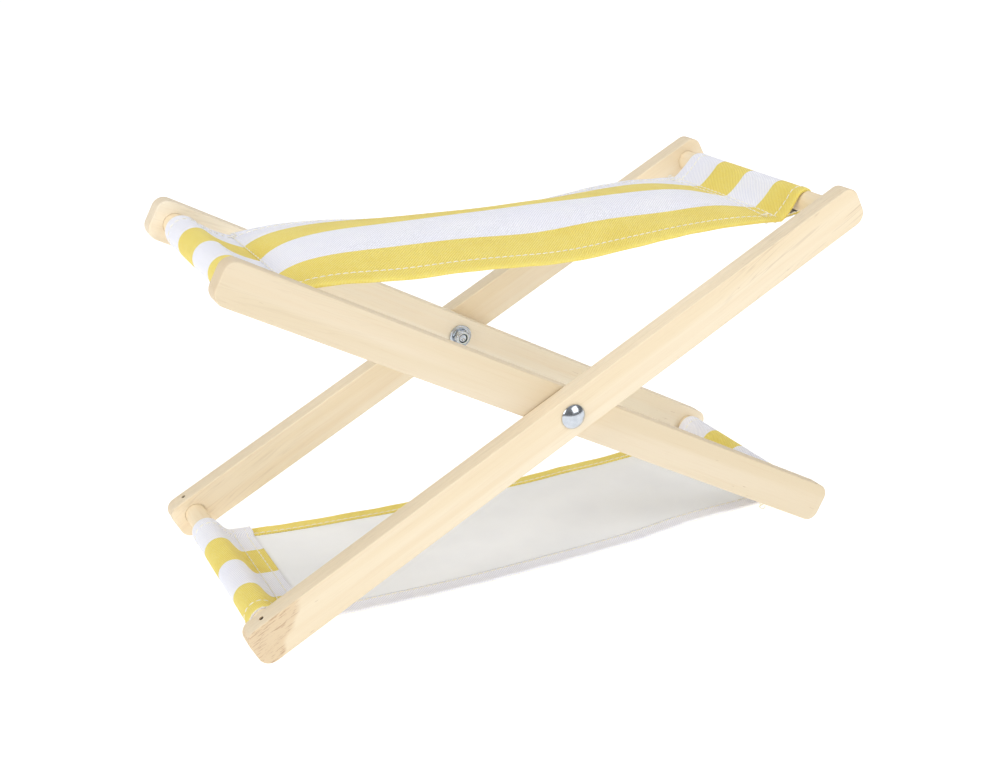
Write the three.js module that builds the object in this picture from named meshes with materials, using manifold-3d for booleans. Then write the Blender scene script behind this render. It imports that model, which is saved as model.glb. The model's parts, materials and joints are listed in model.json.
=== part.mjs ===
// A small folding rest for garden or beach: two pairs of flat wooden legs crossed in an X, round
// dowels between their ends, and two canvas slings, one to rest on and one that holds the feet.
// Millimetres, +Z up. X runs along the slings, Y along the dowels and the fold axis.
// The origin is on the ground, midway between the four feet. "front" is the -Y side.

import * as THREE from 'three';
import { mergeVertices } from 'three/addons/utils/BufferGeometryUtils.js';
import Module from 'manifold-3d';

const wasm = await Module();
wasm.setup();

// ---- driving dimensions ----

const GAP = 0.3;                  // clearance between pieces that touch on the real object

const LEG_LENGTH = 355;
const LEG_WIDTH = 20;
const LEG_THICKNESS = 10;
const LEG_CORNER_RADIUS = 6;      // at the leg's ends, seen from the side
const LEG_EDGE_EASE = 0.5;        // rounding of the long edges
const LEG_ANGLE = THREE.MathUtils.degToRad(28.1);   // above the ground, frame open
const FRAME_WIDTH = 148;          // over the outer legs' outer faces
const LEG_TO_LEG_GAP = 0.8;       // between an outer leg and the inner leg beside it

const DOWEL_RADIUS = 5.5;
const DOWEL_FROM_END = 11.2;      // from a leg's end to the dowel's axis
const SOCKET_DEPTH = 7.5;         // blind hole for the dowel in a leg's inner face

const BOLT_RADIUS = 2.5;          // M5
const BOLT_HEAD_RADIUS = 6;
const BOLT_HEAD_HEIGHT = 2.9;
const BOLT_NECK_SIDE = 5;
const BOLT_NECK_LENGTH = 3.3;
const BOLT_SHORTFALL = 0.4;       // its end stops inside the lock nut's collar
const BOLT_END_CHAMFER = 0.4;
const WASHER_RADIUS = 6.2;
const WASHER_THICKNESS = 1;
const NUT_ACROSS_FLATS = 8;
const NUT_HEX_HEIGHT = 2.6;
const NUT_COLLAR_RADIUS = 3.6;
const NUT_COLLAR_HEIGHT = 1.2;
const NUT_COLLAR_ROUNDING = 0.6;

const BRAD_RADIUS = 0.7;
const BRAD_HEAD_RADIUS = 1.1;
const BRAD_HEAD_THICKNESS = 0.6;
const BRAD_RECESS = 0.6;          // the head sits this far under the wood
const BRAD_LENGTH = 12;
const BRAD_POINT = 1.2;

const SLING_WIDTH = 102;
const SLING_THICKNESS = 1.2;      // two layers of canvas at the hems, one between them
const SEAT_SEAM_IN = 19.7;        // from the dowel's axis in to the pocket's seam
const SEAT_SEAM_DROP = 5;         // and down to it
const SEAT_CROWN = 7.8;           // the middle of the seat stands this far above its seams
const SEAT_EDGE_DROP = 10;        // the seat's side edges hang this far below its middle
const BASE_SEAM_IN = 12.7;
const BASE_SEAM_DROP = 5;
const BASE_SAG = 5.2;             // the base sling hangs this far below its seams
const POCKET_CLEARANCE = 0.4;     // between a dowel and the canvas round it
const CURVE_HANDLE = 0.62;        // of the way from the middle to a seam, for a sling's curve
const POCKET_POINT = 0.75;        // of the way from dowel to seam that a pocket stays open
const EDGE_DROP_POWER = 1.5;      // how late across the seat its side edges start to hang

const ROUND_SEGMENTS = 28;
const SMALL_SEGMENTS = 12;        // on brads and their holes
const DOME_STEPS = 6;
const CORNER_SEGMENTS = 6;
const SLING_CURVE_SEGMENTS = 12;
const SEAT_STEPS_ACROSS = 6;
const BASE_STEPS_ACROSS = 1;
const OVERRUN = 1;                // cutting tools pass this far beyond the surface they open
const WELD_DISTANCE = 1e-4;       // points closer than this are one

// ---- places worked out from them ----

const HALF_LEG = LEG_LENGTH / 2;
const PIVOT_HEIGHT = (HALF_LEG - LEG_CORNER_RADIUS) * Math.sin(LEG_ANGLE)
  + (LEG_WIDTH / 2 - LEG_CORNER_RADIUS) * Math.cos(LEG_ANGLE) + LEG_CORNER_RADIUS;
const DOWEL_AT = HALF_LEG - DOWEL_FROM_END;         // along a leg, from the pivot
const DOWEL_X = DOWEL_AT * Math.cos(LEG_ANGLE);
const DOWEL_RISE = DOWEL_AT * Math.sin(LEG_ANGLE);  // above or below the pivot
const OUTER_LEG_Y = (FRAME_WIDTH - LEG_THICKNESS) / 2;
const INNER_LEG_Y = OUTER_LEG_Y - LEG_THICKNESS - LEG_TO_LEG_GAP;

// ---- colours ----

const pine = new THREE.MeshStandardMaterial({ color: 0xf0dfbd, roughness: 0.62, metalness: 0 });
const dowelWood = new THREE.MeshStandardMaterial({ color: 0xe6cfa2, roughness: 0.6, metalness: 0 });
const canvas = new THREE.MeshStandardMaterial({ color: 0xe8dc9a, roughness: 0.9, metalness: 0 });
const zinc = new THREE.MeshStandardMaterial({ color: 0xc9cfd6, roughness: 0.25, metalness: 1 });
const bradSteel = new THREE.MeshStandardMaterial({ color: 0x7c736a, roughness: 0.5, metalness: 1 });

// ---- cutting and joining ----

function toSolid(geometry) {
  const plain = geometry.clone();
  plain.deleteAttribute('normal');
  plain.deleteAttribute('uv');
  const merged = mergeVertices(plain, WELD_DISTANCE);
  return new wasm.Manifold(new wasm.Mesh({
    numProp: 3,
    vertProperties: new Float32Array(merged.attributes.position.array),
    triVerts: new Uint32Array(merged.index.array),
  }));
}

function toGeometry(solid) {
  const mesh = solid.getMesh();
  const geometry = new THREE.BufferGeometry();
  geometry.setAttribute('position', new THREE.BufferAttribute(mesh.vertProperties, 3));
  geometry.setIndex(new THREE.BufferAttribute(mesh.triVerts, 1));
  geometry.computeVertexNormals();
  return geometry;
}

function cut(geometry, tools) {
  let solid = toSolid(geometry);
  for (const tool of tools) {
    solid = solid.subtract(toSolid(tool));
  }
  return toGeometry(solid);
}

function join(geometries) {
  let solid = toSolid(geometries[0]);
  for (const geometry of geometries.slice(1)) {
    solid = solid.add(toSolid(geometry));
  }
  return toGeometry(solid);
}

// A cylinder along Y from y0 to y1.
function rodAlongY(radius, y0, y1) {
  const rod = new THREE.CylinderGeometry(radius, radius, Math.abs(y1 - y0), ROUND_SEGMENTS);
  rod.translate(0, (y0 + y1) / 2, 0);
  return rod;
}

// A brad hole along Z from z0 to z1.
function bradHole(radius, z0, z1) {
  const hole = new THREE.CylinderGeometry(radius, radius, Math.abs(z1 - z0), SMALL_SEGMENTS);
  hole.rotateX(Math.PI / 2);
  hole.translate(0, 0, (z0 + z1) / 2);
  return hole;
}

// ---- legs ----
// A leg is built level: X along it, Z across its width, its outer broad face at Y = outward * half
// its thickness. The pivot is at its middle.

function legBlank() {
  const halfLength = HALF_LEG - LEG_EDGE_EASE;
  const halfWidth = LEG_WIDTH / 2 - LEG_EDGE_EASE;
  const radius = LEG_CORNER_RADIUS - LEG_EDGE_EASE;
  const outline = new THREE.Shape();
  outline.moveTo(-halfLength + radius, -halfWidth);
  outline.lineTo(halfLength - radius, -halfWidth);
  outline.absarc(halfLength - radius, -halfWidth + radius, radius, -Math.PI / 2, 0);
  outline.lineTo(halfLength, halfWidth - radius);
  outline.absarc(halfLength - radius, halfWidth - radius, radius, 0, Math.PI / 2);
  outline.lineTo(-halfLength + radius, halfWidth);
  outline.absarc(-halfLength + radius, halfWidth - radius, radius, Math.PI / 2, Math.PI);
  outline.lineTo(-halfLength, -halfWidth + radius);
  outline.absarc(-halfLength + radius, -halfWidth + radius, radius, Math.PI, Math.PI * 1.5);
  const blank = new THREE.ExtrudeGeometry(outline, {
    depth: LEG_THICKNESS - 2 * LEG_EDGE_EASE,
    bevelEnabled: true,
    bevelThickness: LEG_EDGE_EASE,
    bevelSize: LEG_EDGE_EASE,
    bevelSegments: 1,
    curveSegments: CORNER_SEGMENTS,
  });
  blank.translate(0, 0, -LEG_THICKNESS / 2 + LEG_EDGE_EASE);
  blank.rotateX(Math.PI / 2);
  return blank;
}

// A blind hole for a dowel, and the brad hole that meets it from the edge at Z = side * half width.
function dowelSocketTools(at, outward, bradSide) {
  const innerFace = -outward * LEG_THICKNESS / 2;
  const mouth = innerFace - outward * OVERRUN;
  const socket = rodAlongY(DOWEL_RADIUS + GAP, mouth, innerFace + outward * SOCKET_DEPTH);
  socket.translate(at, 0, 0);
  const fromEdge = bradHole(BRAD_HEAD_RADIUS + GAP, 0, bradSide * (LEG_WIDTH / 2 + OVERRUN));
  fromEdge.translate(at, 0, 0);
  return [socket, fromEdge];
}

// The foot dowel's brads go in from above, the top dowel's from below, so the seat side stays clean.
function legGeometry(outward, isOuter, topEnd) {
  const tools = [
    rodAlongY(BOLT_RADIUS + GAP, -LEG_THICKNESS, LEG_THICKNESS),
    ...dowelSocketTools(topEnd * DOWEL_AT, outward, -1),
    ...dowelSocketTools(-topEnd * DOWEL_AT, outward, 1),
  ];
  if (isOuter) {
    const side = BOLT_NECK_SIDE + 2 * GAP;
    const depth = BOLT_NECK_LENGTH + GAP;
    const recess = new THREE.BoxGeometry(side, 2 * depth, side);
    recess.translate(0, outward * LEG_THICKNESS / 2, 0);
    tools.push(recess);
  }
  return cut(legBlank(), tools);
}

// ---- dowels ----
// Built along Y with its middle at the origin; local Z is the direction across the leg.

function dowelGeometry(legY, bradSide) {
  const halfLength = legY - LEG_THICKNESS / 2 + SOCKET_DEPTH - GAP;
  const holes = [-1, 1].map((end) => {
    const tip = bradSide * (LEG_WIDTH / 2 - BRAD_RECESS - BRAD_LENGTH - GAP);
    const hole = bradHole(BRAD_RADIUS + GAP, tip, bradSide * (DOWEL_RADIUS + OVERRUN));
    hole.translate(0, end * legY, 0);
    return hole;
  });
  const rod = rodAlongY(DOWEL_RADIUS, -halfLength, halfLength);
  rod.rotateY(Math.PI / ROUND_SEGMENTS);   // a flat, not an edge, faces the brads
  return cut(rod, holes);
}

// ---- brads ----
// Point down, the head's top at Z = 0.

function bradGeometry() {
  const profile = [
    new THREE.Vector2(0, -BRAD_LENGTH),
    new THREE.Vector2(BRAD_RADIUS, -BRAD_LENGTH + BRAD_POINT),
    new THREE.Vector2(BRAD_RADIUS, -BRAD_HEAD_THICKNESS),
    new THREE.Vector2(BRAD_HEAD_RADIUS, -BRAD_HEAD_THICKNESS),
    new THREE.Vector2(BRAD_HEAD_RADIUS, 0),
    new THREE.Vector2(0, 0),
  ];
  const brad = new THREE.LatheGeometry(profile, SMALL_SEGMENTS);
  brad.rotateX(Math.PI / 2);
  return brad;
}

// ---- pivot hardware ----
// Built along Y for the front side, with Y measured from the frame's middle; the back set is
// turned half a turn about Z.

const BOLT_SEAT_Y = -FRAME_WIDTH / 2 - GAP;                    // underside of the bolt's head
const WASHER_SEAT_Y = -(INNER_LEG_Y - LEG_THICKNESS / 2) + GAP;
const NUT_SEAT_Y = WASHER_SEAT_Y + WASHER_THICKNESS + GAP;
const NUT_END_Y = NUT_SEAT_Y + NUT_HEX_HEIGHT + NUT_COLLAR_HEIGHT;
const BOLT_END_Y = NUT_END_Y - BOLT_SHORTFALL;

function boltGeometry() {
  const domeRadius = (BOLT_HEAD_RADIUS ** 2 + BOLT_HEAD_HEIGHT ** 2) / (2 * BOLT_HEAD_HEIGHT);
  const domeAngle = Math.asin(BOLT_HEAD_RADIUS / domeRadius);
  const profile = [];
  for (let i = 0; i <= DOME_STEPS; i += 1) {
    const angle = domeAngle * i / DOME_STEPS;
    const radius = i === 0 ? 0 : domeRadius * Math.sin(angle);
    const y = BOLT_SEAT_Y - BOLT_HEAD_HEIGHT + domeRadius * (1 - Math.cos(angle));
    profile.push(new THREE.Vector2(radius, y));
  }
  profile.push(new THREE.Vector2(BOLT_RADIUS, BOLT_SEAT_Y));
  profile.push(new THREE.Vector2(BOLT_RADIUS, BOLT_END_Y - BOLT_END_CHAMFER));
  profile.push(new THREE.Vector2(BOLT_RADIUS - BOLT_END_CHAMFER, BOLT_END_Y));
  profile.push(new THREE.Vector2(0, BOLT_END_Y));
  const turned = new THREE.LatheGeometry(profile, ROUND_SEGMENTS);
  const buried = BOLT_HEAD_HEIGHT / 4;   // the neck starts inside the head, so the two join
  const neck = new THREE.BoxGeometry(BOLT_NECK_SIDE, BOLT_NECK_LENGTH + buried, BOLT_NECK_SIDE);
  neck.translate(0, BOLT_SEAT_Y + (BOLT_NECK_LENGTH - buried) / 2, 0);
  return join([turned, neck]);
}

function washerGeometry() {
  const bore = BOLT_RADIUS + GAP;
  const profile = [
    new THREE.Vector2(bore, WASHER_SEAT_Y),
    new THREE.Vector2(WASHER_RADIUS, WASHER_SEAT_Y),
    new THREE.Vector2(WASHER_RADIUS, WASHER_SEAT_Y + WASHER_THICKNESS),
    new THREE.Vector2(bore, WASHER_SEAT_Y + WASHER_THICKNESS),
    new THREE.Vector2(bore, WASHER_SEAT_Y),
  ];
  return new THREE.LatheGeometry(profile, ROUND_SEGMENTS);
}

function nutGeometry() {
  const hex = new THREE.CylinderGeometry(
    NUT_ACROSS_FLATS / Math.sqrt(3), NUT_ACROSS_FLATS / Math.sqrt(3), NUT_HEX_HEIGHT, 6);
  hex.translate(0, NUT_SEAT_Y + NUT_HEX_HEIGHT / 2, 0);
  const collarStart = NUT_SEAT_Y + NUT_HEX_HEIGHT / 2;   // inside the hexagon, so the two join
  const collar = new THREE.LatheGeometry([
    new THREE.Vector2(0, collarStart),
    new THREE.Vector2(NUT_COLLAR_RADIUS, collarStart),
    new THREE.Vector2(NUT_COLLAR_RADIUS, NUT_END_Y - NUT_COLLAR_ROUNDING),
    new THREE.Vector2(NUT_COLLAR_RADIUS - NUT_COLLAR_ROUNDING, NUT_END_Y),
    new THREE.Vector2(0, NUT_END_Y),
  ], ROUND_SEGMENTS);
  const bore = rodAlongY(BOLT_RADIUS + GAP, NUT_SEAT_Y - OVERRUN, NUT_END_Y + OVERRUN);
  return cut(join([hex, collar]), [bore]);
}

// ---- slings ----
// The outline is drawn in X and height above the pivot, and extruded across the frame's width.
// Each end is a loop round a dowel, drawn in to the pocket's seam.

// The point where a line from (x, z) touches a circle round (cx, cz), as an angle on the circle.
function tangentAngle(x, z, cx, cz, radius, side) {
  const toward = Math.atan2(z - cz, x - cx);
  return toward + side * Math.acos(radius / Math.hypot(x - cx, z - cz));
}

function slingGeometry(dowelZ, seamIn, seamZ, middleZ, edgeDrop, steps) {
  const half = SLING_THICKNESS / 2;
  const seamX = DOWEL_X - seamIn;
  const innerRadius = DOWEL_RADIUS + POCKET_CLEARANCE;
  const outerRadius = innerRadius + SLING_THICKNESS;
  // A cubic with level handles passes through middleZ halfway along.
  const handleZ = (4 * middleZ - seamZ) / 3;
  const handleX = seamX * CURVE_HANDLE;

  const outline = new THREE.Shape();
  outline.moveTo(-seamX, seamZ + half);
  outline.bezierCurveTo(-handleX, handleZ + half, handleX, handleZ + half, seamX, seamZ + half);
  outline.absarc(
    DOWEL_X, dowelZ, outerRadius,
    tangentAngle(seamX, seamZ + half, DOWEL_X, dowelZ, outerRadius, -1),
    tangentAngle(seamX, seamZ - half, DOWEL_X, dowelZ, outerRadius, 1), true);
  outline.lineTo(seamX, seamZ - half);
  outline.bezierCurveTo(handleX, handleZ - half, -handleX, handleZ - half, -seamX, seamZ - half);
  outline.absarc(
    -DOWEL_X, dowelZ, outerRadius,
    tangentAngle(-seamX, seamZ - half, -DOWEL_X, dowelZ, outerRadius, -1),
    tangentAngle(-seamX, seamZ + half, -DOWEL_X, dowelZ, outerRadius, 1), true);
  outline.closePath();

  // The space that the dowel fills: a drop shape whose point stops short of the seam.
  for (const side of [-1, 1]) {
    const px = side * (DOWEL_X - seamIn * POCKET_POINT);
    const pz = dowelZ + (seamZ - dowelZ) * POCKET_POINT;
    const drop = new THREE.Path();
    const from = tangentAngle(px, pz, side * DOWEL_X, dowelZ, innerRadius, 1);
    const to = tangentAngle(px, pz, side * DOWEL_X, dowelZ, innerRadius, -1);
    drop.absarc(side * DOWEL_X, dowelZ, innerRadius, from, to, false);
    drop.lineTo(px, pz);
    drop.closePath();
    outline.holes.push(drop);
  }

  const sling = new THREE.ExtrudeGeometry(outline, {
    depth: SLING_WIDTH,
    steps,
    bevelEnabled: false,
    curveSegments: SLING_CURVE_SEGMENTS,
  });
  sling.translate(0, 0, -SLING_WIDTH / 2);
  sling.rotateX(Math.PI / 2);

  // Between the seams the side edges hang lower than the middle, most of all at half span.
  const position = sling.attributes.position;
  for (let i = 0; i < position.count; i += 1) {
    const along = Math.min(1, Math.abs(position.getX(i)) / seamX);
    const across = Math.abs(position.getY(i)) / (SLING_WIDTH / 2);
    const drop = edgeDrop * (1 - along ** 2) * across ** EDGE_DROP_POWER;
    position.setZ(i, position.getZ(i) - drop);
  }
  return sling;
}

// ---- assembly ----

function named(name, geometry, material) {
  const mesh = new THREE.Mesh(geometry, material);
  mesh.name = name;
  return mesh;
}

// A pair of legs with its two dowels and four brads, level, then tilted about the pivot axis.
// topEnd is the sign of X at the end that points up when the frame is open.
function legFrame(kind, legY, topEnd) {
  const frame = new THREE.Group();
  const isOuter = kind === 'outer';
  for (const [side, outward] of [['front', -1], ['back', 1]]) {
    const leg = named(`${kind}_leg_${side}`, legGeometry(outward, isOuter, topEnd), pine);
    leg.position.y = outward * legY;
    frame.add(leg);
  }
  for (const [place, end, bradSide] of [['top', topEnd, -1], ['foot', -topEnd, 1]]) {
    const dowel = named(`${kind}_${place}_dowel`, dowelGeometry(legY, bradSide), dowelWood);
    dowel.position.x = end * DOWEL_AT;
    frame.add(dowel);
    for (const [side, outward] of [['front', -1], ['back', 1]]) {
      const brad = named(`brad_${kind}_${place}_${side}`, bradGeometry(), bradSteel);
      brad.position.set(end * DOWEL_AT, outward * legY, bradSide * (LEG_WIDTH / 2 - BRAD_RECESS));
      brad.rotation.x = bradSide < 0 ? Math.PI : 0;
      frame.add(brad);
    }
  }
  frame.rotation.y = -topEnd * LEG_ANGLE;
  return frame;
}

function pivotSet(side) {
  const set = new THREE.Group();
  set.add(named(`pivot_bolt_${side}`, boltGeometry(), zinc));
  set.add(named(`pivot_washer_${side}`, washerGeometry(), zinc));
  set.add(named(`pivot_locknut_${side}`, nutGeometry(), zinc));
  return set;
}

const aboutPivot = new THREE.Group();
aboutPivot.position.z = PIVOT_HEIGHT;

aboutPivot.add(legFrame('outer', OUTER_LEG_Y, 1));
aboutPivot.add(legFrame('inner', INNER_LEG_Y, -1));

// The square necks lie along the outer legs.
const frontPivot = pivotSet('front');
frontPivot.rotation.y = -LEG_ANGLE;
aboutPivot.add(frontPivot);
const backPivot = new THREE.Group();
backPivot.rotation.y = -LEG_ANGLE;
const backTurned = pivotSet('back');
backTurned.rotation.z = Math.PI;
backPivot.add(backTurned);
aboutPivot.add(backPivot);

const seatSeamZ = DOWEL_RISE - SEAT_SEAM_DROP;
aboutPivot.add(named(
  'seat_sling',
  slingGeometry(
    DOWEL_RISE, SEAT_SEAM_IN, seatSeamZ, seatSeamZ + SEAT_CROWN, SEAT_EDGE_DROP, SEAT_STEPS_ACROSS),
  canvas));

const baseSeamZ = -DOWEL_RISE - BASE_SEAM_DROP;
aboutPivot.add(named(
  'base_sling',
  slingGeometry(-DOWEL_RISE, BASE_SEAM_IN, baseSeamZ, baseSeamZ - BASE_SAG, 0, BASE_STEPS_ACROSS),
  canvas));

const rest = new THREE.Group();
rest.add(aboutPivot);

export default rest;
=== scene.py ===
"""Folding canvas rest: fine meshes, materials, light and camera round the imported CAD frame.

Lengths in this script are millimetres until a mesh is made, when they become metres. Heights of
the cloth are measured from the pivot, as the frame is symmetrical about it. X runs along the
slings, Y along the dowels, and the front is the -Y side.
"""
import json
import math
import random
from dataclasses import dataclass
from typing import Callable

import bmesh
import bpy
import numpy as np
from mathutils import Matrix, Vector


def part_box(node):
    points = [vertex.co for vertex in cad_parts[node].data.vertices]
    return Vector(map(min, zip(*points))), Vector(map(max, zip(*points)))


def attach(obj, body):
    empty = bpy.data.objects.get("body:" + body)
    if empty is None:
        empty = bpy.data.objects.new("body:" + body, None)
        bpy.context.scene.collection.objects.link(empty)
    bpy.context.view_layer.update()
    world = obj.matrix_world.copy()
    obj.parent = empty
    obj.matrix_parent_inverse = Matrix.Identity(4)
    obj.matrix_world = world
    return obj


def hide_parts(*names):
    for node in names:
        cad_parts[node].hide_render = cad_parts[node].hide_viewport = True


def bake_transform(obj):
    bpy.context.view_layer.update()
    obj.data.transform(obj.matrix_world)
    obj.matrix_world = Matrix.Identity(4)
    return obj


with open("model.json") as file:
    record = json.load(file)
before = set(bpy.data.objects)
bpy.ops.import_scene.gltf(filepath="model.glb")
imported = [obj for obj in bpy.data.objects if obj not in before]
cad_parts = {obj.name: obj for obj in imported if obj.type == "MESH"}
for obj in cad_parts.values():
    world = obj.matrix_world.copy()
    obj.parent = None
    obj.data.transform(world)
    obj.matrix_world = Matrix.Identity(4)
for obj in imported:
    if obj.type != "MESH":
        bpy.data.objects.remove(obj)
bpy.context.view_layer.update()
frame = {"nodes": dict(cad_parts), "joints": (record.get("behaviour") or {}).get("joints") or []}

MM = 0.001

# -------------------- places, from the frame


def middle(node):
    """The middle of a CAD node's box, in millimetres."""
    low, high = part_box(node)
    return (low + high) / 2 / MM


PIVOT_Z = frame["joints"][0]["pos_m"][2] / MM
TOP_DOWEL = middle("outer_top_dowel")
DOWEL_X = TOP_DOWEL.x
DOWEL_RISE = TOP_DOWEL.z - PIVOT_Z
DOWEL_AT = math.hypot(DOWEL_X, DOWEL_RISE)
LEG_ANGLE = math.atan2(DOWEL_RISE, DOWEL_X)
LEG_Y = {kind: middle(f"{kind}_leg_back").y for kind in ("outer", "inner")}

# -------------------- sizes

LEG_LENGTH = 355
LEG_WIDTH = 20
LEG_THICKNESS = 10
LEG_CORNER = 6
LEG_EDGE = 0.7              # radius of the eased edges
LEG_FLAT = 0.35             # from there to the first row of points on the flat
DOWEL_RADIUS = 5.5
SOCKET_DEPTH = 7.5
GAP = 0.3
BRAD_HOLE_RADIUS = 1.15

BOLT_RADIUS = 2.5
HEAD_RADIUS = 6
HEAD_HEIGHT = 2.9
HEAD_RIM = 0.35
NECK_SIDE = 5
NECK_LENGTH = 3.3
BOLT_THREAD = 9             # length of the threaded end
THREAD_PITCH = 0.8
WASHER_RADIUS = 6.2
WASHER_THICKNESS = 1
NUT_ACROSS_FLATS = 8
NUT_HEIGHT = 2.6
COLLAR_RADIUS = 4.0
COLLAR_HEIGHT = 1.2
COLLAR_LIP = 0.62           # radius of the collar's rolled edge
BOLT_SHORT = 0.9            # from the bolt's end to the nut's

CLOTH = 0.7                 # thickness of one layer of canvas
LAYER = 0.75                # from one layer's middle to the next, where two lie together
HALF_WIDTH = 51             # of a sling
HEM = 8                     # depth of the side hems
STRIPE = 25.5
FLAP = 10                   # from a pocket's first row of stitching to the flap's free edge
STITCH_PITCH = 3.5
STITCH_LENGTH = 3.2
THREAD_RADIUS = 0.3


# -------------------- node helpers


def linear(red, green, blue):
    """A display colour of 0 to 255 as the linear colour that a shader takes."""
    def one(value):
        share = value / 255
        return share / 12.92 if share <= 0.04045 else ((share + 0.055) / 1.055) ** 2.4
    return (one(red), one(green), one(blue), 1.0)


def new_material(name):
    material = bpy.data.materials.new(name)
    material.use_nodes = True
    tree = material.node_tree
    return material, tree, tree.nodes["Principled BSDF"]


class Value:
    """What a shader node gives. Arithmetic on it adds Math nodes."""

    def __init__(self, tree, socket):
        self.tree = tree
        self.socket = socket

    def math(self, operation, *others):
        return put(self.tree, "Math", dict(enumerate((self, *others))), operation=operation)

    def __add__(self, other):
        return self.math("ADD", other)

    def __sub__(self, other):
        return self.math("SUBTRACT", other)

    def __rsub__(self, other):
        return self.math("MULTIPLY_ADD", -1.0, other)

    def __mul__(self, other):
        return self.math("MULTIPLY", other)

    def __truediv__(self, other):
        return self.math("DIVIDE", other)

    def __abs__(self):
        return self.math("ABSOLUTE")


def feed(node, inputs):
    """Sets a node's inputs, each to a number, a vector, a colour, or a Value to link from."""
    for key, value in inputs.items():
        if isinstance(value, Value):
            value.tree.links.new(value.socket, node.inputs[key])
        else:
            node.inputs[key].default_value = value


def put(tree, kind, inputs=None, output=0, **settings):
    """Adds a shader node and gives one of its outputs."""
    made = tree.nodes.new("ShaderNode" + kind)
    for key, value in settings.items():
        setattr(made, key, value)
    feed(made, inputs or {})
    return Value(tree, made.outputs[output])


def wave(value, length):
    """A sine wave, from -1 to 1."""
    return (value * (2 * math.pi / length)).math("SINE")


def unsigned(value):
    """-1 to 1 as 0 to 1."""
    return value.math("MULTIPLY_ADD", 0.5, 0.5)


def blur_step(value, low, high):
    """0 below low, 1 above high, smooth between."""
    return put(value.tree, "MapRange", {"Value": value, "From Min": low, "From Max": high},
               interpolation_type="SMOOTHSTEP")


def spread(value, low, high):
    """0 to 1 as low to high."""
    return put(value.tree, "MapRange", {"Value": value, "To Min": low, "To Max": high})


def mix(share, first, second):
    return put(share.tree, "Mix", {0: share, 6: first, 7: second}, 2, data_type="RGBA")


def scaled(vector, by):
    return put(vector.tree, "VectorMath", {0: vector, 1: by}, operation="MULTIPLY")


def separated(vector):
    return [put(vector.tree, "SeparateXYZ", {0: vector}, axis) for axis in "XYZ"]


def noise(vector, scale, seed, detail=3.0, roughness=0.5):
    inputs = {"Vector": vector, "W": seed, "Scale": scale, "Detail": detail, "Roughness": roughness}
    return put(vector.tree, "TexNoise", inputs, noise_dimensions="4D")


def bump(height, distance, strength):
    return put(height.tree, "Bump", {"Height": height, "Distance": distance, "Strength": strength})


# -------------------- wood

RING_PITCH = 3.4            # between growth rings
PATCH_LENGTH = 14           # of the rough patch at one foot
HAIR_WIDTH = 0.55           # scale of the hair lines across the grain
HAIR_STRETCH = 26           # how many times longer they are along it
WOOD_RELIEF = 0.00009       # metres


class Grain:
    """Places on a piece of wood, in millimetres. along is the axis that the grain follows."""

    def __init__(self, tree, seed, along):
        self.tree = tree
        self.seed = seed
        self.along = along
        self.place = scaled(put(tree, "TexCoord", output="Object"), (1000, 1000, 1000))
        axes = separated(self.place)
        self.run = axes[along]
        self.across = axes[1 - along]
        self.width = axes[2]

    def noise(self, length, scale, seed, detail, roughness=0.5):
        """Noise drawn out length times along the grain."""
        squeeze = [1.0, 1.0, 1.0]
        squeeze[self.along] = 1 / length
        return noise(scaled(self.place, squeeze), scale, self.seed + seed, detail, roughness)


def growth_rings(grain):
    """Rings round a heart well outside the board."""
    side = grain.across + (31.0 + 3 * grain.seed)
    up = grain.width + (-17.0 + 5 * grain.seed)
    radius = (side * side + up * up).math("SQRT")
    drift = grain.noise(60, 0.055, 3, 2.0) * 14.0
    return blur_step(wave(radius + drift, RING_PITCH), 0.1, 1.0)


def hair_lines(grain, hair_end):
    """Long thin lines, a little across the grain, here and there towards one end."""
    inputs = {"Vector": grain.place, "Angle": 0.10}
    slant = put(grain.tree, "VectorRotate", inputs, rotation_type="Y_AXIS")
    narrow = [HAIR_WIDTH] * 3
    narrow[grain.along] = HAIR_WIDTH / HAIR_STRETCH
    crest = abs(noise(scaled(slant, narrow), 1.0, grain.seed + 29, 1.0) - 0.5)
    kept = blur_step(grain.noise(12, 0.17, 33.4, 1.0), 0.40, 0.52)
    zone = blur_step(grain.run * hair_end, 70.0, 150.0)
    return blur_step(crest, 0.04, 0.0) * (kept * zone)


def flecks(grain, near_end):
    """Short dark flecks, more of them near the ends."""
    limit = 0.74 - near_end * 0.05
    return blur_step(grain.noise(11, 1.15, 13, 2.0, 0.6) - limit, 0.0, 0.045)


def shaded_sawn_faces(grain, colour, height):
    """A leg's narrow edges, with saw marks and painted darker and greyer as shade, and its end grain. The
    mask that comes back is 1 on those edges.
    """
    facing = separated(put(grain.tree, "TexCoord", output="Normal"))
    sawn_and_shaded = blur_step(abs(facing[2]), 0.5, 0.95)
    end_grain = blur_step(abs(facing[0]), 0.25, 0.9)
    saw_mark = grain.noise(16, 2.2, 37, 3.0, 0.7)
    # Painted shade: the narrow faces, which face up and down, are painted darker and greyer, with the saw
    # marks varying that tone.
    shaded_edge_tone = mix(blur_step(saw_mark, 0.35, 0.7), linear(233, 217, 191), linear(214, 199, 174))
    colour = mix(sawn_and_shaded * 0.55, colour, shaded_edge_tone)
    colour = mix(end_grain * 0.3, colour, linear(206, 180, 146))
    return colour, height + saw_mark * sawn_and_shaded * 0.6, sawn_and_shaded


def sanded_patch(grain, start, sawn_and_shaded, colour, height):
    """A rough scarred patch on the flat faces below start, reaching further up the leg at its upper edge."""
    wander = grain.noise(2, 0.16, 19, 2.0) * 12.0
    inside = blur_step(grain.run - grain.width * 1.1 - wander, start + 1, start - 3) * (1.0 - sawn_and_shaded)
    scar = blur_step(grain.noise(11, 2.1, 23, 2.0, 0.6), 0.55, 0.63) * inside
    colour = mix(inside * 0.65, colour, linear(224, 198, 161))
    colour = mix(scar * 0.45, colour, linear(168, 118, 84))
    return colour, height - scar * 0.8


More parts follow.
